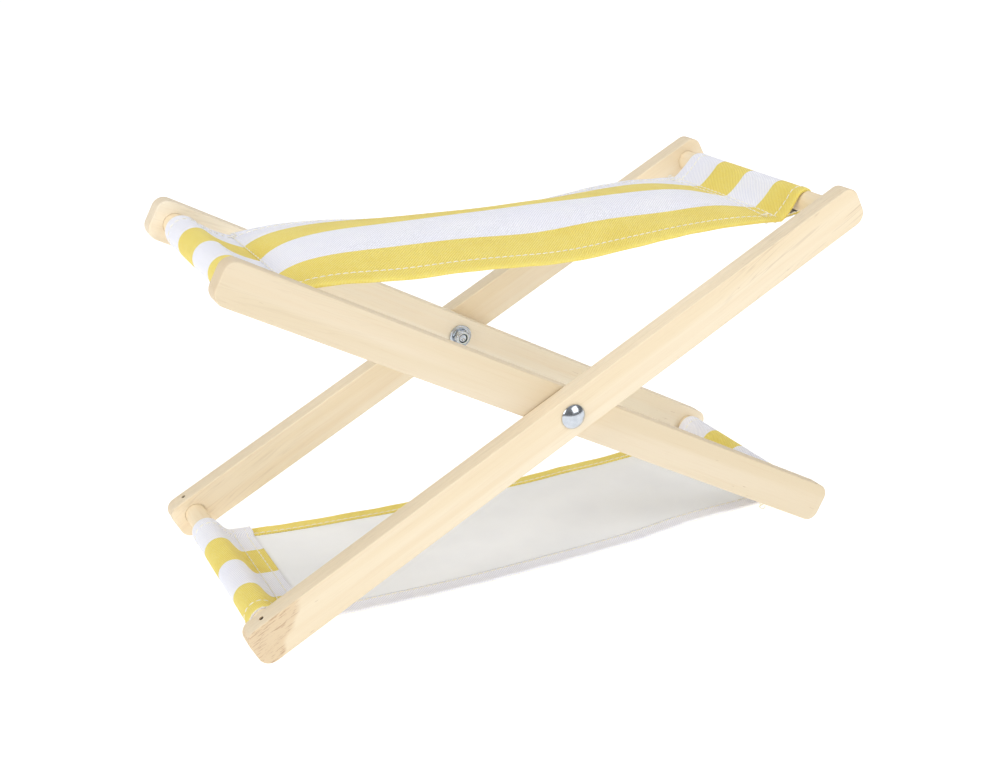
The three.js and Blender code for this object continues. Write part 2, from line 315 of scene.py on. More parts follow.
def wood(name, seed, along, light, dark, hairs=0.3, hair_end=1, patch_from=None):
    """Pale pine: long fibres, faint growth rings, hair lines and short dark flecks.

    along is the grain's axis, 0 on a leg and 1 on a dowel. hairs is how strong the hair lines are, and
    hair_end is 1 or -1, the end that has them. patch_from is where a sanded patch begins, on one leg only.
    """
    material, tree, shader = new_material(name)
    grain = Grain(tree, seed, along)
    near_end = blur_step(abs(grain.run), 80.0, 165.0)
    tone = blur_step(grain.noise(26, 0.12, 0, 3.0), 0.34, 0.68)
    fibre = grain.noise(40, 1.7, 7, 4.0, 0.65)
    fleck = flecks(grain, near_end)
    colour = mix(tone, light, dark)
    colour = mix(growth_rings(grain) * 0.10, colour, linear(226, 192, 146))
    colour = mix(blur_step(fibre, 0.50, 0.72) * 0.20, colour, linear(218, 190, 150))
    colour = mix(hair_lines(grain, hair_end) * hairs, colour, linear(150, 116, 84))
    colour = mix(fleck * 0.5, colour, linear(158, 120, 82))
    height = fibre * 0.5 - fleck * 0.9
    if along == 0:
        colour = mix(near_end * 0.3, colour, dark)
        colour, height, sawn_and_shaded = shaded_sawn_faces(grain, colour, height)
    if patch_from is not None:
        colour, height = sanded_patch(grain, patch_from, sawn_and_shaded, colour, height)
    feed(shader, {"Base Color": colour, "Roughness": spread(fibre, 0.52, 0.68),
                  "Specular IOR Level": 0.32, "Normal": bump(height, WOOD_RELIEF, 0.7)})
    return material


# -------------------- canvas

TWILL = 1.36                # from rib to rib, along the cloth
YARNS = (0.62, 0.55)        # from yarn to yarn, along and across
PRINT_RELIEF = 0.00016      # metres
BACK_RELIEF = 0.00008


def weave(tree, mirrored):
    """The cloth's place in mm, the same in parts, and its twill ribs and yarns as heights of 0 to 1."""
    uv = put(tree, "UVMap", uv_map="Cloth")
    parts = separated(uv)
    wander = noise(uv, 0.22, 2.0, 2.0) * 0.9
    slope = -0.95 if mirrored else 0.95
    rib = unsigned(wave(parts[0] * slope - parts[1] + wander, TWILL))
    yarn = unsigned(wave(parts[0], YARNS[0]) * wave(parts[1], YARNS[1]))
    return uv, parts, rib, yarn


def stripes(uv, across, hem_shift):
    """1 on the yellow stripes and 0 on the white, their edges a little bled.

    hem_shift moves the front hem's change of colour round the folded edge.
    """
    bleed = noise(uv, 0.9, 5.0, 2.0) * 0.5 + -0.25
    front_hem = blur_step(across, -44.0, -46.0) * hem_shift
    band = ((across + front_hem + bleed) / STRIPE).math("FLOORED_MODULO", 2.0)
    inside = 0.5 - abs(abs(band - 1.0) - 0.5)
    sign = (1.0 - band).math("SIGN")
    return blur_step(inside * STRIPE * sign, -0.25, 0.25)


def canvas_print(name, mirrored, hem_shift):
    """The printed side: yellow and white stripes on a twill weave, shaded between its ribs."""
    material, tree, shader = new_material(name)
    uv, parts, rib, yarn = weave(tree, mirrored)
    yellow = stripes(uv, parts[1], hem_shift)
    blotch = blur_step(noise(uv, 0.06, 8.0), 0.3, 0.7)
    yellow_tone = mix(blotch, linear(248, 231, 124), linear(243, 223, 112))
    white_tone = mix(blotch, linear(252, 252, 255), linear(247, 247, 255))
    from_fold = abs(abs(parts[1]) - (HALF_WIDTH - 0.5))
    valley = blur_step(rib, 0.62, 0.0) * (blur_step(from_fold, -1.2, 3.0) * 0.60)
    colour = mix(yellow, white_tone, yellow_tone)
    colour = mix(valley, colour, mix(yellow, linear(207, 210, 232), linear(214, 182, 66)))
    colour = mix(blur_step(noise(uv, 1.4, 11.0, 3.0, 0.6), 0.42, 0.75) * 0.10, colour, (1, 1, 1, 1))
    feed(shader, {"Base Color": colour, "Roughness": 0.86, "Specular IOR Level": 0.25,
                  "Sheen Weight": 0.12, "Sheen Roughness": 0.5,
                  "Normal": bump(rib + yarn * 0.15, PRINT_RELIEF, 0.8)})
    return material


def canvas_back(name, mirrored):
    """The plain side: smooth, light grey, the weave barely showing."""
    material, tree, shader = new_material(name)
    uv, _, rib, yarn = weave(tree, mirrored)
    blotch = blur_step(noise(uv, 0.035, 3.0), 0.3, 0.7)
    colour = mix(blotch, linear(248, 250, 253), linear(243, 245, 249))
    # Painted shade: the hollows between the yarns are painted darker.
    colour = mix(blur_step(yarn, 0.5, 0.0) * 0.10, colour, linear(214, 216, 220))
    feed(shader, {"Base Color": colour, "Roughness": 0.8, "Specular IOR Level": 0.25,
                  "Normal": bump(rib * 0.35 + yarn * 0.5, BACK_RELIEF, 0.5)})
    return material


def thread(name):
    """Cream sewing thread with the twist of its plies."""
    material, tree, shader = new_material(name)
    along, around, _ = separated(put(tree, "UVMap", uv_map="Cloth"))
    twist = unsigned(((along + around) * 9.0).math("SINE"))
    # Painted shade: the grooves between the plies are painted darker than their crests.
    feed(shader, {"Base Color": mix(twist, linear(247, 242, 224), linear(255, 252, 241)),
                  "Roughness": 0.6, "Sheen Weight": 0.2, "Normal": bump(twist, 0.00005, 0.6)})
    return material


# -------------------- metal and nylon


def plated(name, light, dark, roughness):
    """A bright metal with faint cloudy and brushed variation."""
    material, tree, shader = new_material(name)
    place = put(tree, "TexCoord", output="Object")
    cloud = blur_step(noise(place, 260.0, 1.0, 4.0, 0.6), 0.3, 0.7)
    fine = noise(place, 1900.0, 6.0, 3.0, 0.6)
    feed(shader, {"Base Color": mix(cloud, light, dark), "Metallic": 1.0,
                  "Roughness": spread(fine, roughness * 0.7, roughness * 1.5),
                  "Normal": bump(fine, 0.00001, 0.4)})
    return material


def nylon(name):
    """The lock nut's insert: milky, slightly waxy."""
    material, tree, shader = new_material(name)
    cloud = noise(put(tree, "TexCoord", output="Object"), 700.0, 4.0)
    feed(shader, {"Base Color": mix(cloud, linear(238, 238, 232), linear(218, 220, 220)),
                  "Roughness": 0.42, "Subsurface Weight": 0.1, "Subsurface Scale": 0.001,
                  "Normal": bump(cloud, 0.00002, 0.4)})
    return material


# -------------------- mesh helpers


def make(name, points, faces, materials, picks=None, uvs=None, smooth_below=None):
    """A mesh object from points in millimetres. picks gives each face its material's number."""
    mesh = bpy.data.meshes.new(name)
    mesh.from_pydata((np.asarray(points, float) * MM).tolist(), [], faces)
    for material in materials:
        mesh.materials.append(material)
    if picks is not None:
        mesh.polygons.foreach_set("material_index", picks)
    if uvs is not None:
        layer = mesh.uv_layers.new(name="Cloth")
        corners = np.zeros(len(mesh.loops), np.int32)
        mesh.loops.foreach_get("vertex_index", corners)
        layer.data.foreach_set("uv", np.asarray(uvs, np.float32)[corners].ravel())
    mesh.update()
    made = bpy.data.objects.new(name, mesh)
    bpy.context.scene.collection.objects.link(made)
    face_outward(mesh)
    smooth(mesh, smooth_below)
    return made


def face_outward(mesh):
    shape = bmesh.new()
    shape.from_mesh(mesh)
    bmesh.ops.recalc_face_normals(shape, faces=shape.faces)
    shape.to_mesh(mesh)
    shape.free()


def smooth(mesh, below=None):
    """Shades a mesh smooth, but for edges sharper than below, in degrees."""
    mesh.shade_smooth()
    if below is not None:
        mesh.set_sharp_from_angle(angle=math.radians(below))


def band_faces(rows, around):
    """Faces between rows of points that each go once around."""
    faces = []
    for row in range(rows - 1):
        for k in range(around):
            this, after = row * around + k, row * around + (k + 1) % around
            faces.append((this, after, after + around, this + around))
    return faces


def turned(profile, segments):
    """Points and faces of a (radius, y) profile turned about Y. A radius of 0 closes an end."""
    points, faces, rings = [], [], []
    for radius, y in profile:
        if radius == 0:
            rings.append([len(points)])
            points.append((0, y, 0))
            continue
        rings.append(list(range(len(points), len(points) + segments)))
        for k in range(segments):
            angle = 2 * math.pi * k / segments
            points.append((radius * math.cos(angle), y, radius * math.sin(angle)))
    for lower, upper in zip(rings, rings[1:]):
        for k in range(segments):
            after = (k + 1) % segments
            if len(lower) == 1:
                faces.append((lower[0], upper[after], upper[k]))
            elif len(upper) == 1:
                faces.append((lower[k], lower[after], upper[0]))
            else:
                faces.append((lower[k], lower[after], upper[after], upper[k]))
    return points, faces


def merged(parts):
    """Several bodies as one: their points, their faces, and their cloth places if they have them."""
    points, faces, places = [], [], []
    for some_points, some_faces, *some_places in parts:
        faces += [tuple(i + len(points) for i in face) for face in some_faces]
        points += some_points
        places += sum(some_places, [])
    return points, faces, places


def drilled(made, cutters, smooth_below):
    """Cuts the cutters out of a piece and removes them."""
    for cutter in cutters:
        cut = made.modifiers.new("cut", "BOOLEAN")
        cut.operation = "DIFFERENCE"
        cut.solver = "EXACT"
        cut.object = cutter
    bpy.context.view_layer.update()
    evaluated = made.evaluated_get(bpy.context.evaluated_depsgraph_get())
    result = bpy.data.meshes.new_from_object(evaluated)
    made.modifiers.clear()
    made.data = result
    for cutter in cutters:
        bpy.data.objects.remove(cutter)
    smooth(result, smooth_below)


def rod(radius, start, end, along, place=(0, 0, 0), segments=48):
    """A plain cutter between two distances along an axis, offset by place."""
    points, faces = turned([(0, start), (radius, start), (radius, end), (0, end)], segments)
    order = {"X": (1, 0, 2), "Y": (0, 1, 2), "Z": (0, 2, 1)}[along]
    points = [tuple(p[i] + place[k] for k, i in enumerate(order)) for p in points]
    return make("cutter", points, faces, [])


# -------------------- legs


def rounded_outline(inset, corner_steps=10):
    """The leg's side view, drawn in by inset: (x, z) points, anticlockwise."""
    radius = LEG_CORNER - inset
    outline = []
    for quarter, (sx, sz) in enumerate(((1, 1), (-1, 1), (-1, -1), (1, -1))):
        centre_x = sx * (LEG_LENGTH / 2 - LEG_CORNER)
        centre_z = sz * (LEG_WIDTH / 2 - LEG_CORNER)
        for k in range(corner_steps + 1):
            angle = math.pi / 2 * (quarter + k / corner_steps)
            outline.append((centre_x + radius * math.cos(angle), centre_z + radius * math.sin(angle)))
    return outline


def leg_blank():
    """A flat bar with round corners and eased edges, its length along X."""
    edge_steps = 5
    half = LEG_THICKNESS / 2
    rows = [(LEG_EDGE + LEG_FLAT, -half)]
    for k in range(edge_steps + 1):
        angle = math.pi / 2 * k / edge_steps
        rows.append((LEG_EDGE * (1 - math.sin(angle)), -half + LEG_EDGE * (1 - math.cos(angle))))
    rows += [(inset, -y) for inset, y in reversed(rows)]
    rings = [[(x, y, z) for x, z in rounded_outline(inset)] for inset, y in rows]
    count = len(rings[0])
    points = [point for ring in rings for point in ring]
    caps = [tuple(range(count)), tuple(range(len(points) - count, len(points)))]
    return points, caps + band_faces(len(rings), count)


def leg(kind, side, material):
    """One leg with its dowel sockets, brad holes and bolt hole, in place of its CAD solid."""
    outward = 1 if side == "back" else -1
    top_end = 1 if kind == "outer" else -1
    inner_face = -outward * LEG_THICKNESS / 2
    piece = make(f"{kind}_leg_{side}_wood", *leg_blank(), [material])
    cutters = [rod(BOLT_RADIUS + GAP, -LEG_THICKNESS, LEG_THICKNESS, "Y")]
    for end, brad_side in ((top_end, -1), (-top_end, 1)):
        at = end * DOWEL_AT
        cutters.append(rod(DOWEL_RADIUS + GAP / 2, inner_face - outward,
                           inner_face + outward * SOCKET_DEPTH, "Y", (at, 0, 0), 64))
        cutters.append(rod(BRAD_HOLE_RADIUS, 0, brad_side * (LEG_WIDTH / 2 + 1), "Z", (at, 0, 0), 24))
    drilled(piece, cutters, 35)
    place = Matrix.Translation((0, outward * LEG_Y[kind] * MM, PIVOT_Z * MM))
    piece.matrix_world = place @ Matrix.Rotation(-top_end * LEG_ANGLE, 4, "Y")
    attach(piece, f"{kind}_frame")
    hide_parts(f"{kind}_leg_{side}")


def dowel(kind, place, material):
    """One turned dowel with chamfered ends, in place of its CAD solid."""
    node = f"{kind}_{place}_dowel"
    centre = middle(node)
    half = LEG_Y[kind] - LEG_THICKNESS / 2 + SOCKET_DEPTH - GAP
    chamfer = 0.6
    steps = 40
    profile = [(0, -half), (DOWEL_RADIUS - chamfer, -half)]
    for k in range(steps + 1):
        y = (chamfer - half) + (2 * half - 2 * chamfer) * k / steps
        wobble = 0.03 * math.sin(y * 0.21 + centre.x) + 0.02 * math.sin(y * 0.53)
        profile.append((DOWEL_RADIUS + wobble, y))
    profile += [(DOWEL_RADIUS - chamfer, half), (0, half)]
    piece = make(f"{node}_wood", *turned(profile, 64), [material], smooth_below=30)
    piece.matrix_world = Matrix.Translation(centre * MM)
    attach(piece, f"{kind}_frame")
    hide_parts(node)


# -------------------- pivot hardware
# Each piece is made for the front, Y measured from the frame's middle, and turned for the back.


def dome_rows(radius, y, height, steps, rim):
    """A dome's (radius, y) rows, from its top to its rim."""
    ball = (radius ** 2 + height ** 2) / (2 * height)
    widest = math.asin(radius / ball)
    rows = [(0, y - height - rim)]
    for k in range(1, steps + 1):
        angle = widest * k / steps
        rows.append((ball * math.sin(angle), y - height - rim + ball * (1 - math.cos(angle))))
    return rows


def bolt_shape(seat, end):
    """A carriage bolt: domed head, square neck, and a threaded end with a small dished face."""
    dome = dome_rows(HEAD_RADIUS - 0.1, seat, HEAD_HEIGHT - HEAD_RIM, 18, HEAD_RIM)
    rim = [(HEAD_RADIUS, seat - HEAD_RIM * 0.6), (HEAD_RADIUS - 0.05, seat - 0.08),
           (HEAD_RADIUS - 0.2, seat)]
    shank = [(BOLT_RADIUS, seat)]
    thread_start = end - BOLT_THREAD
    turns = int((end - 0.5 - thread_start) / THREAD_PITCH)
    for k in range(turns):
        y = thread_start + k * THREAD_PITCH
        shank += [(BOLT_RADIUS - 0.38, y), (BOLT_RADIUS - 0.02, y + THREAD_PITCH * 0.45),
                  (BOLT_RADIUS - 0.02, y + THREAD_PITCH * 0.6)]
    tip = [(BOLT_RADIUS - 0.3, end - 0.45), (BOLT_RADIUS - 0.62, end - 0.05), (BOLT_RADIUS - 0.8, end),
           (1.15, end - 0.12), (0.6, end - 0.42), (0, end - 0.5)]
    body = turned(dome + rim + shank + tip, 72)
    side = NECK_SIDE / 2
    bevel = 0.5
    square = [(side, side - bevel), (side - bevel, side), (-side + bevel, side), (-side, side - bevel),
              (-side, -side + bevel), (-side + bevel, -side), (side - bevel, -side), (side, -side + bevel)]
    points = [(x, y, z) for y in (seat + 0.02, seat + NECK_LENGTH) for x, z in square]
    faces = [tuple(range(8)), tuple(range(8, 16))]
    faces += [(k, (k + 1) % 8, 8 + (k + 1) % 8, 8 + k) for k in range(8)]
    return merged([body, (points, faces)])[:2]


def washer_shape(start):
    bore, ease = BOLT_RADIUS + GAP, 0.22
    end = start + WASHER_THICKNESS
    profile = [(bore, start), (WASHER_RADIUS - ease, start), (WASHER_RADIUS, start + ease),
               (WASHER_RADIUS, end - ease), (WASHER_RADIUS - ease * 0.4, end - ease * 0.3),
               (WASHER_RADIUS - ease * 1.3, end), (bore + ease, end), (bore, end - ease), (bore, start)]
    return turned(profile, 72)


def nut_shape(start):
    """A hexagon with its corners turned off, and a rounded collar rolled in over the insert."""
    sides = 96
    flat = NUT_ACROSS_FLATS / 2
    end = start + NUT_HEIGHT + COLLAR_HEIGHT
    bore = BOLT_RADIUS + GAP
    corner = flat / math.cos(math.pi / 6)
    shoulder = start + NUT_HEIGHT
    rows = [(bore, start, 0), (flat * 0.97, start, 0), (corner, start + 0.5, 1), (corner, shoulder - 0.7, 1),
            (flat * 0.985, shoulder, 0), (COLLAR_RADIUS, shoulder + 0.05, 0), (COLLAR_RADIUS, end - 0.95, 0)]
    for k in range(1, 9):
        angle = math.pi * 0.5 * k / 8
        rows.append((COLLAR_RADIUS - COLLAR_LIP + COLLAR_LIP * math.cos(angle),
                     end - COLLAR_LIP + COLLAR_LIP * math.sin(angle), 0))
    rows += [(bore + 0.35, end - 0.75, 0), (bore, end - 1.0, 0), (bore, start, 0)]
    points = []
    for radius, y, is_hex in rows:
        for k in range(sides):
            angle = 2 * math.pi * k / sides
            limit = flat / math.cos((angle + math.pi / 6) % (math.pi / 3) - math.pi / 6)
            reach = min(radius, limit) if is_hex else radius
            points.append((reach * math.cos(angle), y, reach * math.sin(angle)))
    return points, band_faces(len(rows), sides)


def insert_shape(start):
    """The nylon ring under the collar's lip, bulged a little by the thread."""
    end = start + NUT_HEIGHT + COLLAR_HEIGHT
    rows = []
    for k in range(17):
        angle = 2 * math.pi * k / 16
        rows.append((BOLT_RADIUS + 0.42 + 0.40 * math.cos(angle), end - COLLAR_LIP + 0.42 * math.sin(angle)))
    return turned(rows, 72)


def hardware(side, metal, insert):
    """A bolt, washer, lock nut and its insert on one side."""
    spin = Matrix.Rotation(0 if side == "front" else math.pi, 4, "Z")
    tilt = Matrix.Rotation(-LEG_ANGLE, 4, "Y")
    place = Matrix.Translation((0, 0, PIVOT_Z * MM)) @ tilt @ spin
    head_seat = -(LEG_Y["outer"] + LEG_THICKNESS / 2) - GAP
    washer_start = -(LEG_Y["inner"] - LEG_THICKNESS / 2) + GAP
    nut_start = washer_start + WASHER_THICKNESS + GAP / 3
    bolt_end = nut_start + NUT_HEIGHT + COLLAR_HEIGHT - BOLT_SHORT
    made = {
        "bolt": make(f"pivot_bolt_{side}_zinc", *bolt_shape(head_seat, bolt_end), [metal], smooth_below=32),
        "washer": make(f"pivot_washer_{side}_zinc", *washer_shape(washer_start), [metal], smooth_below=50),
        "locknut": make(f"pivot_locknut_{side}_zinc", *nut_shape(nut_start), [metal], smooth_below=32),
    }
    for part, piece in made.items():
        piece.matrix_world = place
        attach(piece, "outer_frame")
        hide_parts(f"pivot_{part}_{side}")
    ring = make(f"pivot_locknut_{side}_insert", *insert_shape(nut_start), [insert])
    ring.matrix_world = place
    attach(ring, "outer_frame")


# -------------------- the slings' shape


@dataclass
class Sling:
    """What differs between the two slings. Heights are from the pivot, and pairs are left and right."""
    name: str
    over: int           # +1 where the printed side is up, -1 where it is down
    axis_z: float       # height of the dowels' axes
    height: Callable    # height of the printed layer, from x and y
    seams: tuple        # X of the first rows of stitching
    sewn_at: tuple      # how far inboard of the seam each row is sewn
    radius: tuple       # of the middle of the cloth round the dowels
    loose: tuple        # how far each loose pocket's middle is inboard of its dowel's, and above it
    crease: tuple       # slope at which the upper layer meets the seam
    hug: tuple          # degrees by which that layer follows the dowel past the tangent
    slide: tuple        # how far the pockets have slid along their dowels
    skew: float         # how much further the left pocket has slid than its seam
    tuck: float         # how far the front edge is drawn in at the right pocket
    flap_in: float      # how far the flap's sides lie behind the panel's
    bend_past: float    # how far past the dowels a reach is set, though nothing uses that reach

    def at(self, x, y, z):
        """A point of the cloth in space, slid along the dowels."""
        share = np.clip((x + DOWEL_X) / (2 * DOWEL_X), 0, 1)
        slid = y + self.slide[0] + (self.slide[1] - self.slide[0]) * share
        slid = slid + self.skew * np.clip((self.seams[0] - x) / 12, 0, 1)
        front = np.clip((-y - STRIPE) / (HALF_WIDTH - STRIPE), 0, 1)
        return np.stack([x, slid + self.tuck * front * share ** 8, z], axis=-1)


def bulge(x, centre, width):
    return np.exp(-((x - centre) / width) ** 2)


SEAT_SEAMS = (-122.8, 130.6)
SEAT_SEAM_Z = (71.7, 73.0)
SEAT_CROWN_Z = 81.7
BASE_SEAMS = (-134.0, 134.0)
BASE_SEAM_Z = (-83.7, -83.2)
RIPPLES = random.Random(41)
RIPPLE_WAVES = [(RIPPLES.uniform(0.05, 0.16), RIPPLES.uniform(-0.09, 0.09),
                 RIPPLES.uniform(0, 2 * math.pi)) for _ in range(7)]


def ripple(x, y):
    """Slight unevenness of stretched canvas, up to about 1 either way."""
    total = 0
    for along, across, phase in RIPPLE_WAVES:
        total = total + np.sin(along * x + across * y + phase)
    return total / 3


def seat_height(x, y):
    """The seat: it rises from low seams to a flat crown, and its sides hang like a shallow roof."""
    left, right = SEAT_SEAMS
    share = (x - left) / (right - left)
    seam = SEAT_SEAM_Z[0] + (SEAT_SEAM_Z[1] - SEAT_SEAM_Z[0]) * share
    steep = 1 - np.exp(-(np.clip(x - left, 0, None) / 10.5))
    gentle = 1 - np.exp(-(np.clip(right - x, 0, None) / 23) ** 1.45)
    rise = np.minimum(steep, gentle)
    crown = seam + (SEAT_CROWN_Z - seam) * rise
    roof = (np.sqrt(1 + (y / 20) ** 2) - 1) / (math.sqrt(1 + (HALF_WIDTH / 20) ** 2) - 1)
    front_hang = np.exp(-((x + 38) / 62) ** 4)
    back_hang = np.exp(-((x - 2) / 66) ** 4)
    hang = 7.5 * rise + np.where(y < 0, 4.2 * front_hang + 4.8 * bulge(x, 30, 44), 6.0 * back_hang)
    droop = 1.6 * np.clip(share, 0, 1) ** 6 * np.clip(-y / HALF_WIDTH, 0, 1) ** 2
    slack = 1.5 * bulge(x, 2, 28) * bulge(np.abs(y), 27, 12) + 1.6 * bulge(x, 76, 26) * bulge(y, -26, 12)
    return crown - hang * roof - slack - droop + 0.15 * ripple(x, y) * rise


def base_height(x, y):
    """The base sling: a shallow sag, its front right corner drawn up a little."""
    left, right = BASE_SEAMS
    share = (x - left) / (right - left)
    right_z = BASE_SEAM_Z[1] - 2.4 * y / HALF_WIDTH
    seam = BASE_SEAM_Z[0] + (right_z - BASE_SEAM_Z[0]) * share
    inside = np.clip(1 - (2 * share - 1) ** 2, 0, None)
    sag = 4.6 * inside * (1 - 0.3 * (2 * share - 1))
    lift = 1.6 * bulge(x, 86, 30) * np.clip(-y / HALF_WIDTH, 0, 1)
    return seam - sag + lift + 0.25 * ripple(x + 40, y) * inside


SEAT = Sling(
    name="seat_sling", over=1, axis_z=DOWEL_RISE, height=seat_height,
    seams=SEAT_SEAMS, sewn_at=((0.4,), (0.4, 6.0)),
    radius=(7.4, 6.8), loose=((0.9, -1.2), (0.9, -0.4)), crease=(-0.4, -0.6), hug=(15, 8),
    slide=(-4.0, 1.2), skew=-2.2, tuck=4.2, flap_in=6.5, bend_past=4)
BASE = Sling(
    name="base_sling", over=-1, axis_z=-DOWEL_RISE, height=base_height,
    seams=BASE_SEAMS, sewn_at=((0.4, 6.5), (0.4, 6.5)),
    radius=(6.7, 6.7), loose=((-0.1, -0.7), (-0.1, -0.7)), crease=(-0.1, -0.1), hug=(6, 6),
    slide=(-5.5, 0.4), skew=0.0, tuck=0.0, flap_in=0.8, bend_past=11)


def hem_share(y):
    """0 on the single cloth, 1 over the side hems."""
    share = np.clip((np.abs(y) - (HALF_WIDTH - HEM - 1)) / 2.0, 0, 1)
    return share * share * (3 - 2 * share)


PULL = 0.9      # how far a curve keeps to the way it starts and ends


def between(first, second, first_way, second_way, count):
    """count points on a smooth curve from first to second, leaving and arriving along the two ways."""
    t = np.linspace(0, 1, count)[:, None, None]
    far = np.linalg.norm(second - first, axis=-1, keepdims=True)
    first_way = first_way * PULL
    second_way = second_way * PULL
    a = 2 * t ** 3 - 3 * t ** 2 + 1
    b = t ** 3 - 2 * t ** 2 + t
    c = -2 * t ** 3 + 3 * t ** 2
    d = t ** 3 - t ** 2
    return a * first + b * first_way * far + c * second + d * second_way * far


def unit(vectors):
    return vectors / np.linalg.norm(vectors, axis=-1, keepdims=True)


def layers_apart(y):
    """From the panel's middle to the flap's, with two more layers between them at the hems."""
    return LAYER * (1 + 2 * hem_share(y))


def flap(sling, side, seam_x, y):
    """Points from the flap's free edge, which lies a little further off, to the seam."""
    inboard = np.linspace(FLAP, 0, 11)[:, None]
    x = seam_x - side * inboard
    z = sling.height(x, y[None, :]) - sling.over * layers_apart(y)[None, :]
    z = z - sling.over * 0.35 * np.clip((inboard - FLAP + 2) / 2, 0, 1) ** 2
    return np.stack([np.broadcast_to(x, z.shape), z], axis=-1)


def pocket(sling, side, y):
    """Points from the flap's free edge out to the dowel, round it and back to the panel's seam.

    The loop is worked out as (inboard, up), with up turned over where the printed side is down, so that
    the panel always goes over the dowel and the flap comes back under it.
    """
    which = 0 if side < 0 else 1
    seam_x = sling.seams[which]
    seam_q = DOWEL_X - side * seam_x
    panel_up = sling.over * (sling.height(np.full_like(y, seam_x), y) - sling.axis_z)
    flap_up = panel_up - layers_apart(y)
    radius = sling.radius[which]
    middle_q, middle_up = sling.loose[which][0], sling.loose[which][1] * sling.over
    far_q = seam_q - middle_q
    # The upper layer creases at the seam and hugs the dowel. The lower one leads off almost straight.
    upper = (math.radians(sling.hug[which]), sling.crease[which])
    lower = (0.05, 0.0)
    (panel_hug, panel_slope), (flap_hug, flap_slope) = (upper, lower) if sling.over > 0 else (lower, upper)

    def tangent(up, turn):
        """Angle on the loop from which a straight line leads to the seam, above or below."""
        return np.arctan2(up, far_q) + turn * np.arccos(radius / np.hypot(far_q, up))

    def on_loop(angle):
        return (radius * np.stack([np.cos(angle), np.sin(angle)], axis=-1)
                + np.array([middle_q, middle_up]))

    def way_round(angle):
        return np.stack([np.sin(angle), -np.cos(angle)], axis=-1)

    top = tangent(panel_up - middle_up, 1) - panel_hug
    bottom = tangent(flap_up - middle_up, -1) + flap_hug
    panel_seam = np.stack([np.full_like(y, seam_q), panel_up], axis=-1)
    flap_seam = np.stack([np.full_like(y, seam_q), flap_up], axis=-1)
    flap_way = unit(np.array([-1.0, flap_slope]))
    panel_way = unit(np.array([1.0, panel_slope]))
    to_bottom = between(flap_seam, on_loop(bottom), flap_way, way_round(bottom), 16)
    turn = (top - 2 * math.pi - bottom)[None, :]
    arc = on_loop(bottom[None, :] + turn * np.linspace(0, 1, 36)[:, None])
    to_panel = between(on_loop(top), panel_seam, way_round(top), panel_way, 18)
    loop = np.concatenate([to_bottom[1:], arc[1:], to_panel[1:-1]])
    loop = np.stack([side * (DOWEL_X - loop[..., 0]), sling.axis_z + sling.over * loop[..., 1]], axis=-1)
    return np.concatenate([flap(sling, side, seam_x, y), loop])


def strip(sling, y):
    """The printed layer's middle, as points [along the strip, across it], for the given ys."""
    left = pocket(sling, -1, y)
    right = pocket(sling, 1, y)[::-1]
    x = np.linspace(sling.seams[0], sling.seams[1], 190)
    z = sling.height(x[:, None], y[None, :])
    panel = np.stack([np.broadcast_to(x[:, None], z.shape), z], axis=-1)
    flat = np.concatenate([left, panel, right])
    return sling.at(flat[..., 0], np.broadcast_to(y[None, :], flat.shape[:2]), flat[..., 1])


def strip_normals(sling, y):
    """Unit vectors out of the printed side, at strip()'s points."""
    step = 0.4
    points = strip(sling, y)
    along = np.gradient(points, axis=0)
    across = strip(sling, y + step) - strip(sling, y - step)
    return unit(np.cross(along, across)) * sling.over


def run_of(points):
    """Distance along a line of points, from its first."""
    return np.concatenate([[0], np.cumsum(np.linalg.norm(np.diff(points, axis=0), axis=1))])


def relief(run, y):
    """Fine shape of sewn canvas: hems puff, and stitching pulls the cloth in between its bites."""
    edge = np.abs(y) - (HALF_WIDTH - HEM)
    puff = 0.28 * np.sin(np.pi * np.clip(edge / HEM, 0, 1))
    groove = -0.20 * np.exp(-(edge / 1.1) ** 2)
    pull = 0.10 * np.sin(2 * np.pi * run / STITCH_PITCH) * np.exp(-(edge / 2.2) ** 2)
    slow = 0.10 * np.sin(run * 0.29 + 1.3 * np.sin(run * 0.071 + y * 0.02)) * np.clip(edge / HEM, 0, 1)
    return puff + groove + pull + slow


def cross_section():
    """The folded strip cut across: rows of (y, depth) from one hem's raw edge to the other's.

    Depth is measured out of the printed side. Also returns the unfolded distance from the middle.
    """
    bend = LAYER / 2
    turn_y = HALF_WIDTH - CLOTH / 2 - bend
    hem_ys = np.linspace(HALF_WIDTH - HEM - 0.8, turn_y, 8)
    right = [(y, -LAYER) for y in hem_ys[:-1]]
    for k in range(7):
        angle = -math.pi / 2 + math.pi * k / 6
        right.append((turn_y + bend * math.cos(angle), -bend + bend * math.sin(angle)))
    face = [(y, 0.0) for y in np.linspace(-turn_y, turn_y, 65)[1:-1]]
    rows = np.array([(-y, depth) for y, depth in right] + face + right[::-1])
    run = run_of(rows)
    return rows, run - run[-1] / 2


